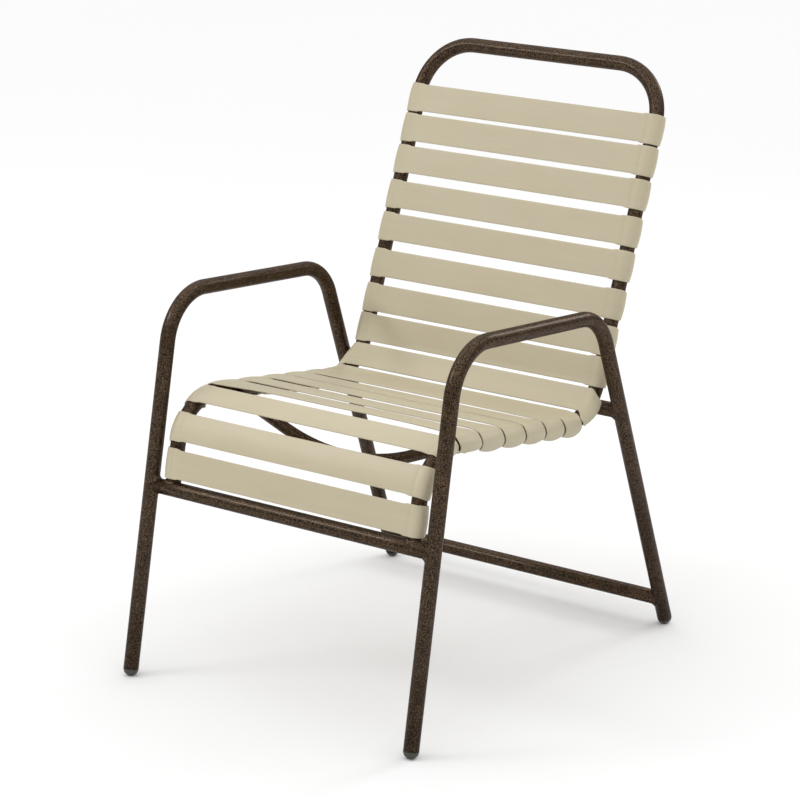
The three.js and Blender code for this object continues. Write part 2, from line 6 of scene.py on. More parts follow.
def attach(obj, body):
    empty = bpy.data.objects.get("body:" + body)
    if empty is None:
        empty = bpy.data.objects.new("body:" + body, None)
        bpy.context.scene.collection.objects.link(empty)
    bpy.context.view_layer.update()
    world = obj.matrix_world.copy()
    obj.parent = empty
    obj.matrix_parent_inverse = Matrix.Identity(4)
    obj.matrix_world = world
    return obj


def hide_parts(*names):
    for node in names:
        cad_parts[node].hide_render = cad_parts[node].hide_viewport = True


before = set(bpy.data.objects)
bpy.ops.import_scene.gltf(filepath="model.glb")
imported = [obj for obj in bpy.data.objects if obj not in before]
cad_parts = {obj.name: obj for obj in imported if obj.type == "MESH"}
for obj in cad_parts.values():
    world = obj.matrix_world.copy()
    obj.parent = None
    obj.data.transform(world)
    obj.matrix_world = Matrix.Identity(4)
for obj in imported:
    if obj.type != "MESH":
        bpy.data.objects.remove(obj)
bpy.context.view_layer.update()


# ---- Seat and back frame -------------------------------------------------------------------------
# One 25.4 mm aluminium tube. It rises from the front crossbar, turns back over the seat, turns up
# into the reclined back and crosses at the top in a bow. Bent cold on a former, then powder coated.

FRONT_FEET_Y = -0.39239
TUBE_RADIUS = 0.0127
BEND_RADIUS = 0.0889
BOW_BEND_RADIUS = 0.093
RAIL_HALF_SPREAD = 0.242
# The bow's centre line in side view, as (y, z), and how the rail's three straight runs lean.
BOW_CENTRE = np.array([FRONT_FEET_Y + 0.78258, 0.97027])
BACK_RECLINE = np.radians(20.87)
SEAT_FALL = np.radians(8.21)
FRONT_SLANT = np.radians(11.31)
BACK_LENGTH = 0.6075
SEAT_LENGTH = 0.4732 / np.cos(SEAT_FALL)
RAIL_LENGTH = 1.1715
RAIL_END_IN = 0.008
TUBE_SIDES = 48


def rail_marks(ride):
    """Headings, turns, runs, arcs and marks of a rail's side view: three straight runs and two arcs.

    Lengths are counted along a line that rides a height above the rail's centre on the sitter's side,
    so the hollow bend is shorter for it and the round bend longer.
    """
    headings = np.array([1.5 * np.pi - BACK_RECLINE, np.pi - SEAT_FALL, 1.5 * np.pi - FRONT_SLANT])
    turns = np.array([headings[0] - headings[1], headings[2] - headings[1]])
    cut = BEND_RADIUS * np.tan(turns / 2)
    runs = [BACK_LENGTH - cut[0], SEAT_LENGTH - cut[0] - cut[1]]
    arcs = [turns[0] * (BEND_RADIUS - ride), turns[1] * (BEND_RADIUS + ride)]
    return headings, turns, runs, arcs, np.cumsum([runs[0], arcs[0], runs[1], arcs[1]])


def rail_profile(distance, ride):
    """Point, heading and sitter's side of a rail, each as (y, z), at a distance down from the bow.

    The point is the sum of what each straight run and each arc before that distance adds.
    """
    headings, turns, runs, arcs, marks = rail_marks(ride)

    def unit(angle):
        return np.stack([np.cos(angle), np.sin(angle)], -1)

    def side(angle):
        return np.stack([np.sin(angle), -np.cos(angle)], -1)

    hollow = turns[0] * np.clip((distance - marks[0]) / arcs[0], 0, 1)
    rounded = turns[1] * np.clip((distance - marks[2]) / arcs[1], 0, 1)
    point = BOW_CENTRE + unit(headings[0]) * np.minimum(distance, marks[0])[..., None]
    point = point - BEND_RADIUS * (side(headings[0] - hollow) - side(headings[0]))
    point = point + unit(headings[1]) * np.clip(distance - marks[1], 0, runs[1])[..., None]
    point = point + BEND_RADIUS * (side(headings[1] + rounded) - side(headings[1]))
    point = point + unit(headings[2]) * np.maximum(distance - marks[3], 0)[..., None]
    heading = headings[0] - hollow + rounded
    return point, unit(heading), side(heading)


def on_rails(x, distance, height, ride):
    """World point from a place across the chair, a distance down the rails and a height off them."""
    point, _, side = rail_profile(distance, ride)
    y, z = (point[..., k] + side[..., k] * height for k in range(2))
    return np.stack([x, y, z], -1)


def colour(hex_value):
    """sRGB hex colour as a linear RGBA value: the standard curve, channel by channel."""
    s = np.array([int(hex_value[i:i + 2], 16) for i in (1, 3, 5)]) / 255
    linear = np.where(s <= 0.04045, s / 12.92, ((s + 0.055) / 1.055) ** 2.4)
    return (*(float(c) for c in linear), 1.0)


def new_material(name):
    """A node material with nothing in it but a Principled shader, and that shader."""
    made = bpy.data.materials.new(name)
    made.use_nodes = True
    return made, made.node_tree.nodes["Principled BSDF"]


def fill_inputs(material, node, inputs):
    """Sets a node's inputs: other nodes' outputs are linked, anything else is a plain value."""
    for key, value in inputs.items():
        if isinstance(value, bpy.types.NodeSocket):
            material.node_tree.links.new(value, node.inputs[key])
        else:
            node.inputs[key].default_value = value


def add_node(material, kind, inputs=None, **settings):
    """Adds a node with its settings, and fills its inputs."""
    made = material.node_tree.nodes.new(kind)
    for key, value in settings.items():
        setattr(made, key, value)
    fill_inputs(material, made, inputs or {})
    return made


def skin(name, rings, finish, runs=None, loop=False):
    """A closed surface from rings of points, shape (rings, points round, 3).

    Each ring joins the next with four-sided faces. The first and last ring are capped, or joined to
    each other in a loop. If the enclosed volume, a sum of a.(b x c) over the triangles, comes out
    negative, every face is turned round, so that all of them face outward.
    """
    count, around = rings.shape[:2]
    index = np.arange(count * around).reshape(count, around)
    here, there = (index, np.roll(index, -1, 0)) if loop else (index[:-1], index[1:])
    quads = np.stack([here, np.roll(here, -1, 1), np.roll(there, -1, 1), there], -1).reshape(-1, 4)
    flat = rings.reshape(-1, 3)
    middle = flat.mean(0)
    a, b, c, d = (flat[quads[:, k]] - middle for k in range(4))
    volume = (np.einsum("ij,ij->i", a, np.cross(b, c)) + np.einsum("ij,ij->i", a, np.cross(c, d))).sum()
    caps = [] if loop else [index[0][::-1].tolist(), index[-1].tolist()]
    faces = quads.tolist() + caps
    if volume < 0:
        faces = [face[::-1] for face in faces]
    smooth = np.ones(len(faces), bool)
    smooth[len(quads):] = False
    mesh = bpy.data.meshes.new(name)
    mesh.from_pydata(flat.tolist(), [], faces)
    mesh.polygons.foreach_set("use_smooth", smooth)
    if runs is not None:
        mesh.attributes.new("run", "FLOAT_VECTOR", "POINT").data.foreach_set("vector", runs.ravel())
    mesh.materials.append(finish)
    made = bpy.data.objects.new(name, mesh)
    bpy.context.scene.collection.objects.link(made)
    return made


# Bronze powder coat, baked on: metallic brown with tan mottling 2 to 3 mm across and black specks
# under 2 mm, over a slightly pebbled skin. A thin clear gloss catches the lamps, and the tone
# drifts a little along the tubes.
MOTTLE_SIZE = 0.0026
SPECK_SIZE = 0.0018
DRIFT_SIZE = 0.03

bronze_coat, shader = new_material("bronze_mottled_powder_coat")
place = add_node(bronze_coat, "ShaderNodeTexCoord").outputs["Object"]
mottle = add_node(bronze_coat, "ShaderNodeTexNoise", {
    "Vector": place, "Scale": 1 / MOTTLE_SIZE, "Detail": 3.0, "Roughness": 0.6,
}).outputs["Fac"]
speck = add_node(bronze_coat, "ShaderNodeTexNoise", {
    "Vector": place, "Scale": 1 / SPECK_SIZE, "Detail": 2.0, "Roughness": 0.5,
}).outputs["Fac"]
patch = add_node(bronze_coat, "ShaderNodeTexNoise", {
    "Vector": place, "Scale": 1 / DRIFT_SIZE, "Detail": 2.0,
}).outputs["Fac"]
tone = add_node(bronze_coat, "ShaderNodeValToRGB", {"Fac": mottle})
for element, position, shade in zip(tone.color_ramp.elements, (0.36, 0.66), ("#35281c", "#6a5540")):
    element.position, element.color = position, colour(shade)
dots = add_node(bronze_coat, "ShaderNodeMapRange", {"Value": speck, "From Min": 0.42, "From Max": 0.51})
coat = add_node(bronze_coat, "ShaderNodeMix", {
    "Factor": dots.outputs["Result"], "A": colour("#0f0a06"), "B": tone.outputs["Color"],
}, data_type="RGBA")
drift = add_node(bronze_coat, "ShaderNodeMapRange", {
    "Value": patch, "From Min": 0.3, "From Max": 0.7, "To Min": 0.82, "To Max": 1.12,
})
drifted = add_node(bronze_coat, "ShaderNodeVectorMath", {
    0: coat.outputs["Result"], "Scale": drift.outputs["Result"],
}, operation="SCALE")
pebble = add_node(bronze_coat, "ShaderNodeBump", {"Height": speck, "Strength": 0.3, "Distance": 0.0005})
satin = add_node(bronze_coat, "ShaderNodeMapRange", {"Value": mottle, "To Min": 0.32, "To Max": 0.48})
fill_inputs(bronze_coat, shader, {
    "Base Color": drifted.outputs["Vector"],
    "Normal": pebble.outputs["Normal"],
    "Roughness": satin.outputs["Result"],
    "Metallic": 0.65,
    "Specular IOR Level": 0.2,
    "Specular Tint": colour("#a89684"),
    "Coat Weight": 0.2,
    "Coat Roughness": 0.16,
})

# Down one rail, up round the bow and down the other, laid out flat as (across, distance from the
# bow). Each span has its first and last section and their number: they lie closer in the bends.
RAIL_SPANS = (
    (RAIL_LENGTH + RAIL_END_IN, 1.115, 4),
    (1.11, 0.98, 40),
    (0.97, 0.67, 8),
    (0.66, 0.53, 40),
    (0.5, BOW_BEND_RADIUS, 8),
)
BOW_STEPS = 25
rail_stations = np.concatenate([np.linspace(*span) for span in RAIL_SPANS])
bow_turn = np.linspace(0, np.pi / 2, BOW_STEPS)[1:]
straight = np.ones(rail_stations.size)
half_across = np.concatenate([
    -RAIL_HALF_SPREAD * straight,
    -RAIL_HALF_SPREAD + BOW_BEND_RADIUS * (1 - np.cos(bow_turn)),
])
half_down = np.concatenate([rail_stations, BOW_BEND_RADIUS * (1 - np.sin(bow_turn))])
half_aim = np.concatenate([np.pi * straight, np.pi - bow_turn])
bow_across = np.concatenate([half_across, -half_across[::-1]])
bow_down = np.concatenate([half_down, half_down[::-1]])
bow_aim = np.concatenate([half_aim, np.pi - half_aim[::-1]])

round_angle = np.linspace(0, 2 * np.pi, TUBE_SIDES, endpoint=False)
sideways = TUBE_RADIUS * np.cos(round_angle)
upward = TUBE_RADIUS * np.sin(round_angle)
seat_back = on_rails(
    bow_across[:, None] + sideways * np.cos(bow_aim)[:, None],
    bow_down[:, None] - sideways * np.sin(bow_aim)[:, None],
    np.broadcast_to(upward, (bow_across.size, TUBE_SIDES)),
    0.0,
)
seat_back_tube = skin("seat_back_tube", seat_back, bronze_coat)
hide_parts("seat_back_frame")
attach(seat_back_tube, "root")


# ---- Side frames ---------------------------------------------------------------------------------
# Front leg, arm and rear leg in one 25.4 mm aluminium tube on each side, bent twice on the same
# former. The legs splay a little outward and each end is closed by a plastic plug.

FOOT_DOME_HEIGHT = 0.012
FOOT_FLAT_DEPTH = 0.0008
BEND_STEPS = 30
# Corners of the right tube's centre line: front foot, front of the arm, rear of the arm, rear foot.
SIDE_CORNERS = np.array([
    [0.2857, 0.0, 0.0],
    [0.2815, 0.1146, 0.6331],
    [0.2843, 0.5220, 0.6018],
    [0.2947, 0.7602, 0.0],
]) + [0, FRONT_FEET_Y, 0]
SIDES = ((-1, "left"), (1, "right"))

across_axis = np.array([1.0, 0, 0])
back_axis = np.array([0, 1.0, 0])
up_axis = np.array([0, 0, 1.0])


def leg_point(foot, top, height):
    """The point of a leg's centre line at a height: a straight line from foot to top."""
    return foot + (top - foot) * (height / top[2])


def leg_end(foot, top):
    """Where the tube stops and the plug's dome begins: the tilted dome then dips just under z = 0."""
    tilt = np.arccos((top - foot)[2] / np.linalg.norm(top - foot))
    dome_reach = np.hypot(TUBE_RADIUS * np.sin(tilt), FOOT_DOME_HEIGHT * np.cos(tilt))
    return leg_point(foot, top, dome_reach - FOOT_FLAT_DEPTH)


def bent_line(corners, radius, steps):
    """Straight runs between corners, each corner rounded by an arc: points and headings along it."""
    points = [corners[:1]]
    headings = [(corners[1] - corners[0])[None]]
    for before, corner, after in zip(corners, corners[1:], corners[2:]):
        arrive = (corner - before) / np.linalg.norm(corner - before)
        leave = (after - corner) / np.linalg.norm(after - corner)
        turn = np.arccos(arrive @ leave)
        inward = leave - arrive * (arrive @ leave)
        inward /= np.linalg.norm(inward)
        angle = np.linspace(0, turn, steps)[:, None]
        start = corner - arrive * radius * np.tan(turn / 2)
        points.append(start + radius * (arrive * np.sin(angle) + inward * (1 - np.cos(angle))))
        headings.append(arrive * np.cos(angle) + inward * np.sin(angle))
    points.append(corners[-1:])
    headings.append((corners[-1] - corners[-2])[None])
    headings = np.concatenate(headings)
    return np.concatenate(points), headings / np.linalg.norm(headings, axis=1, keepdims=True)


def tube_rings(points, headings, reference, radius, sides=TUBE_SIDES):
    """Circles square to a line: centre + radius (cos a . first + sin a . second).

    First is the direction across the line that is nearest the reference, and second is square to it.
    """
    first = reference - headings * (headings @ reference)[:, None]
    first /= np.linalg.norm(first, axis=1, keepdims=True)
    second = np.cross(headings, first)
    angle = np.linspace(0, 2 * np.pi, sides, endpoint=False)[None, :, None]
    return points[:, None] + radius * (np.cos(angle) * first[:, None] + np.sin(angle) * second[:, None])


for side, word in SIDES:
    corners = SIDE_CORNERS * [side, 1, 1]
    front_end, rear_end = leg_end(corners[0], corners[1]), leg_end(corners[3], corners[2])
    line = np.stack([front_end, *corners[1:3], rear_end])
    points, headings = bent_line(line, BEND_RADIUS, BEND_STEPS)
    rings = tube_rings(points, headings, across_axis, TUBE_RADIUS)
    side_tube = skin(f"side_tube_{word}", rings, bronze_coat)
    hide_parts(f"side_frame_{word}")
    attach(side_tube, "root")


# ---- Crossbars -----------------------------------------------------------------------------------
# Three straight 25.4 mm tubes between the side frames: under the front of the seat, low at the back,
# and behind the seat, where it touches both rails. Each end is coped round the leg and welded.

FRONT_BAR_HEIGHT = 0.3191
REAR_BAR_HEIGHT = 0.0499
BAR_END_IN = 0.0008
SEAT_BAR_GAP = 0.0003
BAR_SECTIONS = 9

# The bar behind the seat lies on the rear legs' line, where that line is a bend's radius and two
# tube radii from the centre of the rails' hollow bend.
front_leg = SIDE_CORNERS[0], SIDE_CORNERS[1]
rear_leg = SIDE_CORNERS[3], SIDE_CORNERS[2]
_, _, _, _, marks = rail_marks(0.0)
bend_start, _, bend_side = rail_profile(marks[:1], 0.0)
bend_centre = bend_start[0] + BEND_RADIUS * bend_side[0]
leg_foot, leg_top = rear_leg[0][1:], rear_leg[1][1:]
leg_aim = (leg_top - leg_foot) / np.linalg.norm(leg_top - leg_foot)
nearest = (bend_centre - leg_foot) @ leg_aim
miss = np.linalg.norm(bend_centre - leg_foot - nearest * leg_aim)
touch = BEND_RADIUS + 2 * TUBE_RADIUS + SEAT_BAR_GAP
seat_bar_height = (leg_foot + leg_aim * (nearest - np.sqrt(touch ** 2 - miss ** 2)))[1]

BARS = (
    ("front_crossbar", front_leg, FRONT_BAR_HEIGHT),
    ("rear_crossbar", rear_leg, REAR_BAR_HEIGHT),
    ("rear_seat_bar", rear_leg, seat_bar_height),
)
for node, (foot, top), height in BARS:
    end = leg_point(foot, top, height)
    x = np.linspace(-1, 1, BAR_SECTIONS) * (end[0] - BAR_END_IN)
    points = np.stack([x, np.full_like(x, end[1]), np.full_like(x, end[2])], -1)
    headings = np.tile(across_axis, (BAR_SECTIONS, 1))
    bar = skin(f"{node}_tube", tube_rings(points, headings, up_axis, TUBE_RADIUS), bronze_coat)
    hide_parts(node)
    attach(bar, "root")


# ---- Seat brace ----------------------------------------------------------------------------------
# A lighter 20 mm tube under the seat, bent down in the middle so that a sagging strap clears it,
# and welded to the inner side of each rail.

BRACE_RADIUS = 0.010
BRACE_SIDES = 36
BRACE_BEND_RADIUS = 0.343
BRACE_BEND_STEPS = 40
BRACE_DROP = 0.0978
BRACE_Y = FRONT_FEET_Y + 0.2147

seat_back_corner = BOW_CENTRE + BACK_LENGTH * np.array([-np.sin(BACK_RECLINE), -np.cos(BACK_RECLINE)])
seat_front_corner = seat_back_corner + SEAT_LENGTH * np.array([-np.cos(SEAT_FALL), np.sin(SEAT_FALL)])
brace_end_height = seat_front_corner[1] - (BRACE_Y - seat_front_corner[0]) * np.tan(SEAT_FALL)
brace_corners = np.array([
    [-RAIL_HALF_SPREAD, BRACE_Y, brace_end_height],
    [0, BRACE_Y, brace_end_height - BRACE_DROP],
    [RAIL_HALF_SPREAD, BRACE_Y, brace_end_height],
])
points, headings = bent_line(brace_corners, BRACE_BEND_RADIUS, BRACE_BEND_STEPS)
rings = tube_rings(points, headings, back_axis, BRACE_RADIUS, BRACE_SIDES)
brace = skin("seat_brace_tube", rings, bronze_coat)
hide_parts("seat_brace")
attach(brace, "root")


# ---- Weld beads ----------------------------------------------------------------------------------
# Aluminium fillets laid by hand round each tube end, hollow in section with a faint ripple from
# each dab of the rod, and coated with the frame.

WELD_LEG = 0.0085
RAIL_FOOT_WELD_RISE = 0.0032
RAIL_FOOT_WELD_LEG = 0.0065
BRACE_WELD_LEG = 0.006
WELD_HOLLOW = 0.12
WELD_RIPPLE = 0.00022
RIPPLE_PITCH = 0.0026
WELD_SECTIONS = 160
WELD_CURVE_POINTS = 12
WELD_SINK = 0.0004
WELD_ROOT_DEPTH = 0.0015


def weld_rings(start, toward, radius, on_post, along_post, rise, leg):
    """Fillet round a tube that ends on the side of a post of TUBE_RADIUS, as a loop of sections.

    For each angle round the tube, the line along the tube's skin meets the post at the root: the
    nearer answer of a quadratic. The section is a curve from a toe on the tube to a toe on the post,
    drawn in towards the root, and it closes behind the root, inside both tubes.
    """
    angle = np.linspace(0, 2 * np.pi, WELD_SECTIONS, endpoint=False)
    level = np.cross(toward, along_post)
    level /= np.linalg.norm(level)
    upright = np.cross(toward, level)
    away = np.cos(angle)[:, None] * level + np.sin(angle)[:, None] * upright

    def flatten(v):
        return v - (v @ along_post)[..., None] * along_post

    def onto_post(p, depth):
        radial = flatten(p - on_post)
        length = np.linalg.norm(radial, axis=-1, keepdims=True)
        return p + radial / length * (TUBE_RADIUS - depth - length)

    line = start + away * (radius - WELD_SINK)
    a = flatten(toward[None])[0]
    b = flatten(line - on_post)
    inside = np.maximum(0, (b @ a) ** 2 - (a @ a) * ((b * b).sum(1) - (TUBE_RADIUS - WELD_SINK) ** 2))
    root = line + toward * ((-(b @ a) - np.sqrt(inside)) / (a @ a))[:, None]
    normal = flatten(root - on_post)
    normal /= np.linalg.norm(normal, axis=1, keepdims=True)
    slide = away + toward
    slide = slide - (slide * normal).sum(1)[:, None] * normal
    slide /= np.linalg.norm(slide, axis=1, keepdims=True)
    toe_tube = root - toward * rise
    toe_post = onto_post(root + slide * leg, WELD_SINK)
    outward = away + normal
    outward /= np.maximum(np.linalg.norm(outward, axis=1, keepdims=True), 1e-9)
    control = root + outward * (WELD_HOLLOW * min(rise, leg))
    share = np.linspace(0, 1, WELD_CURVE_POINTS)[:, None, None]
    curve = (1 - share) ** 2 * toe_tube + 2 * share * (1 - share) * control + share ** 2 * toe_post
    ripples = round(2 * np.pi * radius / RIPPLE_PITCH)
    bulge = np.sin(np.pi * share) * WELD_RIPPLE * (1 + np.cos(ripples * angle)[None, :, None])
    behind = root - outward * WELD_ROOT_DEPTH
    return np.concatenate([curve + bulge * outward, behind[None]]).transpose(1, 0, 2)


def add_weld(joint, rings, loop=True):
    """A weld bead in the frame's finish, in place of its plain solid."""
    made = skin(f"fillet_{joint}", rings, bronze_coat, loop=loop)
    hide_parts(f"weld_{joint}")
    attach(made, "root")


# Two places on the rail's last straight run give its aim, and the first is where its weld starts.
RAIL_FOOT_RUN = np.array([1.13, 1.17])
front_bar = leg_point(*front_leg, FRONT_BAR_HEIGHT)
run_points = on_rails(np.zeros(2), RAIL_FOOT_RUN, np.zeros(2), 0.0)
foot_aim = (run_points[1] - run_points[0]) / np.linalg.norm(run_points[1] - run_points[0])
seat_line = np.array([0, np.cos(SEAT_FALL), -np.sin(SEAT_FALL)])
for side, word in SIDES:
    for node, (foot, top), height in BARS:
        post = leg_point(foot, top, height) * [side, 1, 1]
        along = (top - foot) * [side, 1, 1] / np.linalg.norm(top - foot)
        start = post * [0, 1, 1]
        rings = weld_rings(start, side * across_axis, TUBE_RADIUS, post, along, WELD_LEG, WELD_LEG)
        add_weld(f"{node}_{word}", rings)
    at_rail = side * RAIL_HALF_SPREAD * across_axis
    on_bar = at_rail + front_bar * [0, 1, 1]
    rings = weld_rings(
        at_rail + run_points[0], foot_aim, TUBE_RADIUS, on_bar, across_axis,
        RAIL_FOOT_WELD_RISE, RAIL_FOOT_WELD_LEG,
    )
    add_weld(f"rail_foot_{word}", rings)
    brace_end = brace_corners[0 if side < 0 else 2]
    brace_aim = (brace_end - brace_corners[1]) / np.linalg.norm(brace_end - brace_corners[1])
    rings = weld_rings(
        brace_corners[1], brace_aim, BRACE_RADIUS, brace_end, seat_line,
        BRACE_WELD_LEG, BRACE_WELD_LEG,
    )
    add_weld(f"seat_brace_{word}", rings)

# Where the bar behind the seat touches each rail, the weld fills the wedge round the contact: a
# waisted plug, narrowest where the two tubes touch.
WAIST_RADIUS = 0.0066
WAIST_FLARE = 0.0026
WEDGE_HALF_HEIGHT = 0.0042
WEDGE_LEAN = 0.15
WEDGE_SIDES, WEDGE_LEVELS = 64, 13

seat_bar = leg_point(*rear_leg, seat_bar_height)
contact_out = (seat_bar[1:] - bend_centre) / np.linalg.norm(seat_bar[1:] - bend_centre)
contact_along = np.array([-contact_out[1], contact_out[0]])
contact = bend_centre + contact_out * (BEND_RADIUS + TUBE_RADIUS)
angle = np.linspace(0, 2 * np.pi, WEDGE_SIDES, endpoint=False)
level = np.linspace(-1, 1, WEDGE_LEVELS)[:, None]
pull = WAIST_RADIUS + WAIST_FLARE * level ** 2
across_part = pull * np.cos(angle) * (1 + WEDGE_LEAN * level)
along_part = pull * np.sin(angle)
out_part = level * WEDGE_HALF_HEIGHT * np.ones_like(along_part)
for side, word in SIDES:
    rings = np.stack([
        side * RAIL_HALF_SPREAD + across_part,
        contact[0] + contact_out[0] * out_part + contact_along[0] * along_part,
        contact[1] + contact_out[1] * out_part + contact_along[1] * along_part,
    ], -1)
    add_weld(f"rail_bend_{word}", rings, loop=False)


# ---- Foot plugs ----------------------------------------------------------------------------------
# Injection-moulded nylon plugs pressed into the leg ends, with a domed foot flush with the tube.
# The floor has worn a small flat on each dome.

DOME_TIP_ANGLE = 0.02
DOME_STEPS = 22
# The plug narrows by these two steps where it enters the tube.
NECK_STEPS = np.array([0.0003, 0.0016])
GRAIN_SIZE = 0.0012
SCUFF_SIZE = 0.006

# Grey-green nylon, left as it was moulded: a matt, finely grained skin, with paler and duller scuffs
# where it has been dragged over the floor.
grey_nylon, shader = new_material("grey_green_moulded_nylon")
place = add_node(grey_nylon, "ShaderNodeTexCoord").outputs["Object"]
grain = add_node(grey_nylon, "ShaderNodeTexNoise", {
    "Vector": place, "Scale": 1 / GRAIN_SIZE, "Detail": 3.0,
}).outputs["Fac"]
scuff = add_node(grey_nylon, "ShaderNodeTexNoise", {
    "Vector": place, "Scale": 1 / SCUFF_SIZE, "Detail": 4.0, "Roughness": 0.7,
}).outputs["Fac"]
tone = add_node(grey_nylon, "ShaderNodeMix", {
    "Factor": scuff, "A": colour("#2b2c26"), "B": colour("#4a4a41"),
}, data_type="RGBA")
matt = add_node(grey_nylon, "ShaderNodeMapRange", {"Value": scuff, "To Min": 0.42, "To Max": 0.62})
relief = add_node(grey_nylon, "ShaderNodeBump", {"Height": grain, "Strength": 0.15, "Distance": 0.0002})
fill_inputs(grey_nylon, shader, {
    "Base Color": tone.outputs["Result"],
    "Roughness": matt.outputs["Result"],
    "Normal": relief.outputs["Normal"],
})

dome = np.linspace(DOME_TIP_ANGLE, np.pi / 2, DOME_STEPS)
depth = np.concatenate([-FOOT_DOME_HEIGHT * np.cos(dome), np.zeros(NECK_STEPS.size)])[:, None, None]
radius = np.concatenate([TUBE_RADIUS * np.sin(dome), TUBE_RADIUS - NECK_STEPS])[:, None, None]
spin = round_angle[None, :, None]
for side, word in SIDES:
    for place_word, (foot, top) in (("front", front_leg), ("rear", rear_leg)):
        foot, top = foot * [side, 1, 1], top * [side, 1, 1]
        up = (top - foot) / np.linalg.norm(top - foot)
        first = across_axis - up * up[0]
        first /= np.linalg.norm(first)
        second = np.cross(up, first)
        rim = np.cos(spin) * first + np.sin(spin) * second
        rings = leg_end(foot, top) + depth * up + radius * rim
        rings[..., 2] = np.maximum(rings[..., 2], 0.0)
        plug = skin(f"{place_word}_plug_{word}", rings, grey_nylon)
        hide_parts(f"{place_word}_foot_plug_{word}")
        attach(plug, "root")


# ---- Vinyl straps --------------------------------------------------------------------------------
# Extruded beige vinyl band, 48 mm wide and 2.3 mm thick with rounded edges. Each strap is warmed,
# pulled tight across the rails and wrapped round them, where it spreads and bulges a little.

STRAP_WIDTH = 0.0483
STRAP_THICKNESS = 0.0023
STRAP_GAP = 0.0002
STRAP_RIDE = TUBE_RADIUS + STRAP_GAP + STRAP_THICKNESS / 2
# Middles of the straps, as distances down from the bow along the line that the straps ride on.
STRAP_MIDDLES = np.array([
    106.2, 160.7, 218, 281.8, 340.5, 406.2, 469, 522.5, 576,
    632.5, 683, 744, 802, 867, 931.5, 1008.5, 1082, 1145,
]) / 1000
# Strap 9 lies in the hollow bend, 10 to 15 on the seat, and 15 reaches over its round front edge.
BEND_STRAP, EDGE_STRAP = 9, 15
SEAT_STRAPS = range(BEND_STRAP + 1, EDGE_STRAP + 1)
# How far a strap wraps. The bar behind the seat and the seat brace leave less room for two of them.
WRAP = np.radians(205)
SHORT_WRAPS = {BEND_STRAP: np.radians(140), EDGE_STRAP: np.radians(164)}
RIVET_FROM_END = np.radians(24)
WRAP_STEPS = 48
# Between the rails, places crowd together within this reach of each rail.
CROWDED_REACH, CROWDED_STEPS, CROWDING, OPEN_STEPS = 0.08, 30, 1.6, 22

# Spread: each edge widens from a reach inside the rail's centre line to a full width nearer it, and
# narrows again between two turns round the rail, in degrees. On the seat it leaves a set gap.
# Strap 15's front edge spreads by its own amounts at the left and the right, and strap 9's later.
BACK_SPREAD = 0.0016
BACK_REACH, SEAT_REACH, EDGE_STRAP_REACH = 0.0195, 0.034, 0.115
BACK_FULL, SEAT_FULL = 0.0115, 0.0
BACK_NARROWS, SEAT_NARROWS = (55, 125), (130, 200)
SEAT_GAP_AT_RAIL = 0.0042
EDGE_STRAP_SPREADS = (0.016, 0.0065)
BEND_STRAP_SPREAD = 0.011
BEND_SPREAD_TURNS = (-20, 70)

# Crown: the middle stands off the tube, most between rail and rivet. Turns are in radians.
BACK_CROWN, SEAT_CROWN = 0.0016, 0.0036
BACK_CROWN_TURNS, SEAT_CROWN_TURNS = (0.1, 1.5), (-0.25, 0.95)
CROWN_AT_RIVET = 0.35
RIVET_PULL_LEAD = 0.4
# Slack: the whole band bulges out between this turn, in radians, and its end.
BACK_SLACK, SEAT_SLACK = 0.0005, 0.0036
SLACK_FROM = 0.7
# A shallow hollow runs across the band just before the rail.
BACK_HOLLOW, SEAT_HOLLOW = 0.0009, 0.00045
HOLLOW_PLACE, HOLLOW_WIDTH = 0.0056, 0.004

# Slip: on the seat the wrapped part creeps towards the front and comes back, more on the right.
# It starts by a length before the rail and is done by a length round it. Turns are in degrees.
LEFT_SLIP = 0.009
LEFT_SLIP_END = 175
RIGHT_SLIPS = {9: 0.0095, 10: 0.0078, 11: 0.0115, 12: 0.0125, 13: 0.0125, 14: 0.014, 15: 0.015}
SLIP_LEAD, SLIP_DONE = 0.024, 0.021
SLIP_RETURN = (138, 186)

# How far each seat strap hangs below (+) or bows above (-) the line between the rails. Strap 15 was
# pulled tighter at the right, so it bows up more there. The others hang by chance.
SEAT_SAGS = {9: 0.0, 10: 0.0004, 11: -0.0009, 12: 0.0003, 13: 0.0, 14: 0.0001, 15: -0.0002}
EDGE_STRAP_LIFT = 0.0010
LIFT_SPAN = (-0.01, 0.08)
SAG_MARGIN = 0.01
CHANCE_SAG = 0.0004

# The two ends taper over their last 6 mm, to these shares of the thickness and the width.
END_TAPER = 0.006
END_THICKNESS, END_WIDTH = 0.35, 0.9
LEAST_TAPER = 0.02

# Under the round bend real length shrinks to this share at most, because vinyl doesn't shrink to a
# point. It takes this many rounds to slide each place to its real length.
LEAST_LENGTH = 0.85
SLIDE_ROUNDS = 14

# Plasticised PVC: a soft low gloss, faint streaks along the pull from the extruder, and a little
# drift in tone from strap to strap. Sizes are (along, across) the strap, and each strap's number
# times the shifts moves its pattern along and to another layer, so that no two look alike.
STREAK_SIZE = (0.12, 0.0045)
CLOUD_SIZE = (0.09, 0.05)
PATTERN_SHIFTS = (1.7, 7.31)

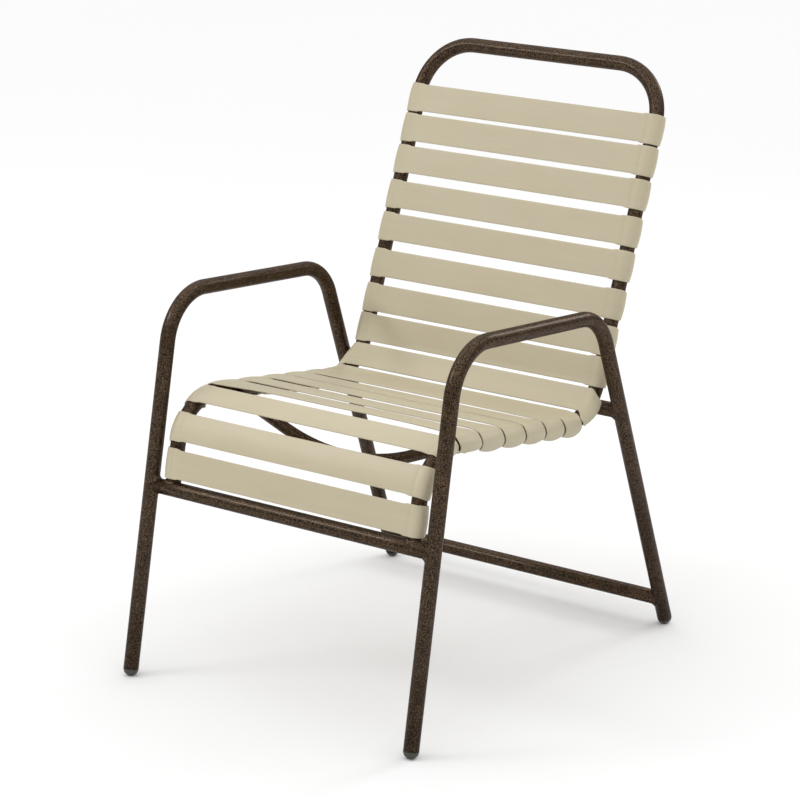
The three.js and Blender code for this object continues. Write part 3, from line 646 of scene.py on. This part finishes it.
beige_vinyl, shader = new_material("beige_extruded_vinyl")
run = add_node(beige_vinyl, "ShaderNodeAttribute", attribute_name="run").outputs["Vector"]
stretch = add_node(beige_vinyl, "ShaderNodeMapping", {
    "Vector": run, "Scale": (1 / STREAK_SIZE[0], 1 / STREAK_SIZE[1], 1.0),
})
streak = add_node(beige_vinyl, "ShaderNodeTexNoise", {
    "Vector": stretch.outputs["Vector"], "Scale": 1.0, "Detail": 3.0, "Roughness": 0.55,
}).outputs["Fac"]
broad = add_node(beige_vinyl, "ShaderNodeMapping", {
    "Vector": run, "Scale": (1 / CLOUD_SIZE[0], 1 / CLOUD_SIZE[1], 1.0),
})
cloud = add_node(beige_vinyl, "ShaderNodeTexNoise", {
    "Vector": broad.outputs["Vector"], "Scale": 1.0, "Detail": 2.0,
}).outputs["Fac"]
fine = add_node(beige_vinyl, "ShaderNodeMix", {
    "Factor": streak, "A": colour("#b1a78c"), "B": colour("#c1b79b"),
}, data_type="RGBA")
wide = add_node(beige_vinyl, "ShaderNodeMix", {
    "Factor": cloud, "A": colour("#b4a98c"), "B": colour("#c3b9a0"),
}, data_type="RGBA")
vinyl_tone = add_node(beige_vinyl, "ShaderNodeMix", {
    "Factor": 0.5, "A": fine.outputs["Result"], "B": wide.outputs["Result"],
}, data_type="RGBA")
sheen = add_node(beige_vinyl, "ShaderNodeMapRange", {"Value": streak, "To Min": 0.4, "To Max": 0.52})
relief = add_node(beige_vinyl, "ShaderNodeBump", {
    "Height": streak, "Strength": 0.06, "Distance": 0.0003,
})
fill_inputs(beige_vinyl, shader, {
    "Base Color": vinyl_tone.outputs["Result"],
    "Roughness": sheen.outputs["Result"],
    "Normal": relief.outputs["Normal"],
    "IOR": 1.53,
})

# Section of the band: two flat faces joined by half-round edges, as (across, lift).
half_thick = STRAP_THICKNESS / 2
EDGE_POINTS, FACE_POINTS = 9, 21
edge_angle = np.linspace(-np.pi / 2, np.pi / 2, EDGE_POINTS)
edge_out, edge_up = np.cos(edge_angle) * half_thick, np.sin(edge_angle)
flat_half = STRAP_WIDTH / 2 - half_thick
flat_across = np.linspace(-flat_half, flat_half, FACE_POINTS + 2)[1:-1]
flat_up = np.ones(flat_across.size)
section_across = np.concatenate([
    flat_half + edge_out, flat_across[::-1], -flat_half - edge_out, flat_across,
])
section_lift = np.concatenate([edge_up, flat_up, -edge_up, -flat_up]) * half_thick


def ramp(value, start, stop):
    """Smooth step from 0 at start to 1 at stop: 3 s^2 - 2 s^3 of the share s of the way."""
    s = np.clip((value - start) / (stop - start), 0, 1)
    return s * s * (3 - 2 * s)


def slip_kept(turned):
    """Share of a strap's right slip that is left at a way round the rail, in degrees."""
    return 1 - ramp(turned, *SLIP_RETURN)


def wrap_path(wrap):
    """Middle line of a strap in the plane across the chair: an arc round one rail, straight, an arc.

    Returns position (x, height off the rail centre), the outward normal's tilt, the length along it
    and how far it has turned round the rail.
    """
    turn = np.linspace(wrap, 0, WRAP_STEPS)
    far = 2 * RAIL_HALF_SPREAD
    near_rail = CROWDED_REACH * np.linspace(0, 1, CROWDED_STEPS) ** CROWDING
    open_span = np.linspace(CROWDED_REACH, far - CROWDED_REACH, OPEN_STEPS)[1:-1]
    span = np.concatenate([near_rail[1:], open_span, far - near_rail[:0:-1]])
    out, up = STRAP_RIDE * np.sin(turn), STRAP_RIDE * np.cos(turn)
    from_left = np.concatenate([-out, span, far + out[::-1]])
    x = from_left - RAIL_HALF_SPREAD
    height = np.concatenate([up, np.full(span.size, STRAP_RIDE), up[::-1]])
    tilt = np.concatenate([-turn, np.zeros(span.size), turn[::-1]])
    length = np.concatenate([[0], np.cumsum(np.hypot(np.diff(x), np.diff(height)))])
    return x, height, tilt, length, np.abs(tilt)


def length_along(distance, height):
    """Real length at a height off the rail's centre, from the bow down to a place on the strap line.

    In the hollow bend the radius is R - height, and in the round one R + height. Each is taken as a
    share of the strap line's own radius there, the round one's held at its least, and straight runs
    count as they are.
    """
    _, _, _, arcs, marks = rail_marks(STRAP_RIDE)
    hollow = (BEND_RADIUS - height) / (BEND_RADIUS - STRAP_RIDE) - 1
    rounded = np.maximum((BEND_RADIUS + height) / (BEND_RADIUS + STRAP_RIDE), LEAST_LENGTH) - 1
    in_hollow = np.clip(distance - marks[0], 0, arcs[0])
    in_rounded = np.clip(distance - marks[2], 0, arcs[1])
    return distance + hollow * in_hollow + rounded * in_rounded


def bow_tuck(distance):
    """How far the rail has turned inward where the top strap meets the bow: R - sqrt(R2 - d2)."""
    into = np.clip(BOW_BEND_RADIUS - distance, 0, BOW_BEND_RADIUS)
    return BOW_BEND_RADIUS - np.sqrt(BOW_BEND_RADIUS ** 2 - into ** 2)


def strap_rings(middle, wrap, on_seat, reach, spread, late_spread, slips, sag, right_lift):
    """A band carried along the wrap path and laid on the rails, as sections along the path.

    on_seat and reach are given for the rear and the front edge, and spread for each of these at the
    left and the right. The edges spread on a smooth step and narrow again, and the front edge can
    spread by a late amount round the rail. The middle stands off by crown times 1 - (across / half
    width) squared. Real lengths across the band are kept: places slide along the rail until the
    length at that height is right. The wrapped part slips down the rail, at the left by the squared
    sine of its way round, at the right on one smooth step out and one back. Where the rear edge is on
    the back, both sides slip like the left. Returns the sections, and (length along, across, 0) for
    the finish.
    """
    x, height, tilt, length, turn = wrap_path(wrap)
    turned = np.degrees(turn)
    from_rail = RAIL_HALF_SPREAD - np.abs(x)
    share = section_across / (STRAP_WIDTH / 2)
    rear_share, front_share = np.minimum(share, 0), np.maximum(share, 0)
    rivet = wrap - RIVET_FROM_END
    seated = on_seat[1]

    near = []
    for edge_reach, edge_on_seat in zip(reach, on_seat):
        full = SEAT_FULL if edge_on_seat else BACK_FULL
        narrows = SEAT_NARROWS if edge_on_seat else BACK_NARROWS
        near.append(ramp(from_rail, edge_reach, full) * (1 - ramp(turned, *narrows)))
    near = np.stack(near, -1)
    widen = np.where(x[:, None] < 0, spread[:, 0], spread[:, 1]) * near
    late = late_spread * ramp(turned, *BEND_SPREAD_TURNS) * (turned > 0)
    edges = widen[:, :1] * rear_share + widen[:, 1:] * front_share + late[:, None] * front_share

    from_end = np.clip(np.minimum(length, length[-1] - length) / END_TAPER, 0, 1)
    taper = np.sqrt(np.clip(1 - (1 - from_end) ** 2, LEAST_TAPER, 1))[:, None]
    across = (section_across[None] + edges) * (END_WIDTH + (1 - END_WIDTH) * taper)

    crown_turns = SEAT_CROWN_TURNS if seated else BACK_CROWN_TURNS
    pulled_in = (1 - CROWN_AT_RIVET) * ramp(turn, rivet - RIVET_PULL_LEAD, rivet)
    stand = ramp(turn, *crown_turns) * (1 - pulled_in)
    crown = (SEAT_CROWN if seated else BACK_CROWN) * stand[:, None] * (1 - share[None] ** 2)
    slack_share = np.clip((turn - SLACK_FROM) / (wrap - SLACK_FROM), 0, 1)
    slack = (SEAT_SLACK if seated else BACK_SLACK) * np.sin(np.pi * slack_share) ** 2
    hollow_share = np.exp(-((from_rail - HOLLOW_PLACE) / HOLLOW_WIDTH) ** 2)
    hollow = (SEAT_HOLLOW if seated else BACK_HOLLOW) * hollow_share
    thick = section_lift[None] * (END_THICKNESS + (1 - END_THICKNESS) * taper)
    lift = thick + crown + (slack - hollow)[:, None]
    hang = np.clip(1 - (x / (RAIL_HALF_SPREAD - SAG_MARGIN)) ** 2, 0, 1)
    dip = (sag - right_lift * ramp(x, *LIFT_SPAN)) * hang

    distance = middle + across
    aim = length_along(np.full_like(across, middle), height[:, None]) + across
    for _ in range(SLIDE_ROUNDS):
        distance = distance + aim - length_along(distance, height[:, None])
    way_round = np.where(turn > 0, turn * STRAP_RIDE, -from_rail)
    left = slips[0] * np.sin(np.pi * np.clip(turned / LEFT_SLIP_END, 0, 1)) ** 2
    right = slips[1] * ramp(way_round, -SLIP_LEAD, SLIP_DONE) * slip_kept(turned)
    distance = distance + np.where((x < 0) | (not on_seat[0]), left, right)[:, None]

    across_x = x[:, None] + np.sin(tilt)[:, None] * lift
    across_x = across_x - np.sign(across_x) * near[:, :1] * bow_tuck(distance)
    lifted = (height - dip)[:, None] + np.cos(tilt)[:, None] * lift
    runs = np.stack([np.broadcast_to(length[:, None], across.shape), across, np.zeros_like(across)], -1)
    return on_rails(across_x, distance, lifted, STRAP_RIDE), runs


chance = np.random.default_rng(18)
gaps = np.diff(STRAP_MIDDLES) - STRAP_WIDTH
for number, middle in enumerate(STRAP_MIDDLES, 1):
    on_seat = number in SEAT_STRAPS, number in SEAT_STRAPS or number == BEND_STRAP
    slips = (LEFT_SLIP if on_seat[1] else 0.0), RIGHT_SLIPS.get(number, 0.0)
    reach, spread = np.full(2, BACK_REACH), np.full((2, 2), BACK_SPREAD)
    if on_seat[0]:
        open_gap = gaps[number - 2] + slips[1] - RIGHT_SLIPS[number - 1]
        reach[0], spread[0] = SEAT_REACH, (open_gap - SEAT_GAP_AT_RAIL) / 2
    if on_seat[1] and number != EDGE_STRAP:
        open_gap = gaps[number - 1] + RIGHT_SLIPS[number + 1] - slips[1]
        reach[1], spread[1] = SEAT_REACH, (open_gap - SEAT_GAP_AT_RAIL) / 2
    late_spread = right_lift = 0.0
    if number == BEND_STRAP:
        spread[0], late_spread = 0.0, BEND_STRAP_SPREAD
    if number == EDGE_STRAP:
        reach[1], spread[1], right_lift = EDGE_STRAP_REACH, EDGE_STRAP_SPREADS, EDGE_STRAP_LIFT
    sag = SEAT_SAGS.get(number, chance.uniform(0.0, CHANCE_SAG))
    wrap = SHORT_WRAPS.get(number, WRAP)
    rings, runs = strap_rings(
        middle, wrap, on_seat, reach, spread, late_spread, slips, sag, right_lift,
    )
    runs[..., 0] += number * PATTERN_SHIFTS[0]
    runs[..., 2] = number * PATTERN_SHIFTS[1]
    strap = skin(f"strap_band_{number:02d}", rings, beige_vinyl, runs)
    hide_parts(f"strap_{number:02d}")
    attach(strap, "root")


# ---- Rivets --------------------------------------------------------------------------------------
# Moulded nylon push rivets in the straps' colour, one through each strap end into the rail, with a
# low domed head and the dimple of the drive pin.

RIVET_HEAD_RADIUS = 0.006
RIVET_HEAD_HEIGHT = 0.0014
RIVET_SIDES = 24
# The heads stand a little higher on the seat's thicker folds, and lower on strap 15.
SEAT_RIVET_LIFT = 0.0006
EDGE_RIVET_SINK = 0.0009
RIVET_GRAIN_SIZE = 0.001

# Nylon in the straps' beige: smoother and a little glossier than the vinyl, with hardly any grain.
beige_nylon, shader = new_material("beige_moulded_nylon")
place = add_node(beige_nylon, "ShaderNodeTexCoord").outputs["Object"]
grain = add_node(beige_nylon, "ShaderNodeTexNoise", {
    "Vector": place, "Scale": 1 / RIVET_GRAIN_SIZE, "Detail": 2.0,
}).outputs["Fac"]
tone = add_node(beige_nylon, "ShaderNodeMix", {
    "Factor": grain, "A": colour("#b3a88a"), "B": colour("#c4b99c"),
}, data_type="RGBA")
relief = add_node(beige_nylon, "ShaderNodeBump", {"Height": grain, "Strength": 0.1, "Distance": 0.0001})
fill_inputs(beige_nylon, shader, {
    "Base Color": tone.outputs["Result"],
    "Normal": relief.outputs["Normal"],
    "Roughness": 0.38,
})

# Profile of the head, as shares of its radius and height: dimple, dome, and a skirt in the vinyl.
head_share = np.array([0.02, 0.1, 0.2, 0.26, 0.32, 0.5, 0.68, 0.84, 0.94, 1.0, 1.0, 0.94])[:, None]
head_rise = np.array([0.55, 0.56, 0.62, 0.86, 1.0, 0.97, 0.86, 0.66, 0.44, 0.2, -0.6, -0.75])[:, None]
spin = np.linspace(0, 2 * np.pi, RIVET_SIDES, endpoint=False)
round_rail = RIVET_HEAD_RADIUS * head_share * np.cos(spin)
down_rail = RIVET_HEAD_RADIUS * head_share * np.sin(spin)
for number, middle in enumerate(STRAP_MIDDLES, 1):
    turn = SHORT_WRAPS.get(number, WRAP) - RIVET_FROM_END
    out = STRAP_RIDE + STRAP_THICKNESS / 2
    if number in SEAT_STRAPS:
        out += CROWN_AT_RIVET * SEAT_CROWN + SEAT_RIVET_LIFT
    else:
        out += CROWN_AT_RIVET * BACK_CROWN
    if number == EDGE_STRAP:
        out -= EDGE_RIVET_SINK
    right_slip = RIGHT_SLIPS.get(number, 0.0) * slip_kept(np.degrees(turn))
    lift = out + RIVET_HEAD_HEIGHT * head_rise * np.ones_like(round_rail)
    height = np.cos(turn) * lift - np.sin(turn) * round_rail
    for side, word in SIDES:
        x = side * (RAIL_HALF_SPREAD + np.sin(turn) * lift + np.cos(turn) * round_rail)
        slipped = right_slip if side > 0 else 0.0
        rings = on_rails(x, middle + slipped + down_rail, height, STRAP_RIDE)
        head = skin(f"rivet_{number:02d}_{word}", rings, beige_nylon)
        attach(head, "root")


# ---- Floor, light and camera ---------------------------------------------------------------------
# A plain white sweep in a white room, with one soft box in front at the left and one behind. The
# boxes give the tubes their highlights.

FLOOR_HALF = 30
FLOOR_LEVEL = -0.0004
WASHES_PER_METRE = 0.7

# Matt white paint: hardly any gloss, and a tone that drifts by a grey level or two.
studio_white, shader = new_material("matt_white_studio_floor")
place = add_node(studio_white, "ShaderNodeTexCoord").outputs["Object"]
wash = add_node(studio_white, "ShaderNodeTexNoise", {
    "Vector": place, "Scale": WASHES_PER_METRE, "Detail": 2.0,
})
tone = add_node(studio_white, "ShaderNodeMix", {
    "Factor": wash.outputs["Fac"], "A": colour("#e8e8e8"), "B": colour("#eaeaea"),
}, data_type="RGBA")
fill_inputs(studio_white, shader, {
    "Base Color": tone.outputs["Result"],
    "Roughness": 0.85,
    "Specular IOR Level": 0.15,
})
floor_corners = np.array([[-1, -1, 0], [1, -1, 0], [1, 1, 0], [-1, 1, 0]]) * FLOOR_HALF
floor_corners = floor_corners + [0, 0, FLOOR_LEVEL]
floor_mesh = bpy.data.meshes.new("studio_floor")
floor_mesh.from_pydata(floor_corners.tolist(), [], [(0, 1, 2, 3)])
floor_mesh.materials.append(studio_white)
floor = bpy.data.objects.new("studio_floor", floor_mesh)
bpy.context.scene.collection.objects.link(floor)

# The room is white overhead and falls off towards the walls, which keeps the tubes' sides dark.
WALL_GLOW, CEILING_GLOW = 0.15, 1.46
CEILING_FROM = 0.75

world = bpy.data.worlds.new("white_studio")
world.use_nodes = True
heading = add_node(world, "ShaderNodeTexCoord").outputs["Generated"]
skyward = add_node(world, "ShaderNodeSeparateXYZ", {"Vector": heading}).outputs["Z"]
climb = add_node(world, "ShaderNodeMapRange", {
    "Value": skyward, "From Min": 0.0, "From Max": CEILING_FROM,
    "To Min": WALL_GLOW, "To Max": CEILING_GLOW,
})
fill_inputs(world, world.node_tree.nodes["Background"], {
    "Color": colour("#fdfdfd"), "Strength": climb.outputs["Result"],
})
bpy.context.scene.world = world


def soft_light(name, at, aim, width, height, watts):
    """A soft box of a width and height in metres at a point, facing another."""
    light = bpy.data.lights.new(name, "AREA")
    light.shape, light.size, light.size_y, light.energy = "RECTANGLE", width, height, watts
    made = bpy.data.objects.new(name, light)
    bpy.context.scene.collection.objects.link(made)
    made.location = at
    made.rotation_euler = (Vector(aim) - Vector(at)).to_track_quat("-Z", "Y").to_euler()


soft_light("key_box", at=(-2.1, -2.1, 2.7), aim=(0, 0, 0.45), width=1.0, height=0.38, watts=19)
soft_light("back_box", at=(0.85, 2.7, 2.05), aim=(0.2, 0, 0.6), width=0.85, height=0.9, watts=14)

# The camera stands where the photograph was taken from. Its focal length is in pixels of an
# 800 x 800 picture.
CAMERA_PLACE = [2.59556, FRONT_FEET_Y - 3.27862, 1.73347]
PAN, TILT, ROLL = np.radians([35.494, -16.087, 0.730])
FOCAL_PIXELS, FRAME_PIXELS = 2800.45, 800
SENSOR_WIDTH = 36
FAR_CLIP = 100

ahead = np.array([-np.sin(PAN) * np.cos(TILT), np.cos(PAN) * np.cos(TILT), np.sin(TILT)])
right = np.array([np.cos(PAN), np.sin(PAN), 0])
above = np.cross(right, ahead)
rolled_right = right * np.cos(ROLL) + above * np.sin(ROLL)
rolled_above = above * np.cos(ROLL) - right * np.sin(ROLL)
stand = np.eye(4)
stand[:3, :3] = np.stack([rolled_right, rolled_above, -ahead], 1)
stand[:3, 3] = CAMERA_PLACE
camera = bpy.data.objects.new("camera", bpy.data.cameras.new("camera"))
camera.data.sensor_width = SENSOR_WIDTH
camera.data.lens = SENSOR_WIDTH * FOCAL_PIXELS / FRAME_PIXELS
camera.data.clip_end = FAR_CLIP
camera.matrix_world = Matrix(stand.tolist())
bpy.context.scene.collection.objects.link(camera)
bpy.context.scene.camera = camera
bpy.context.scene.view_settings.view_transform = "Standard"
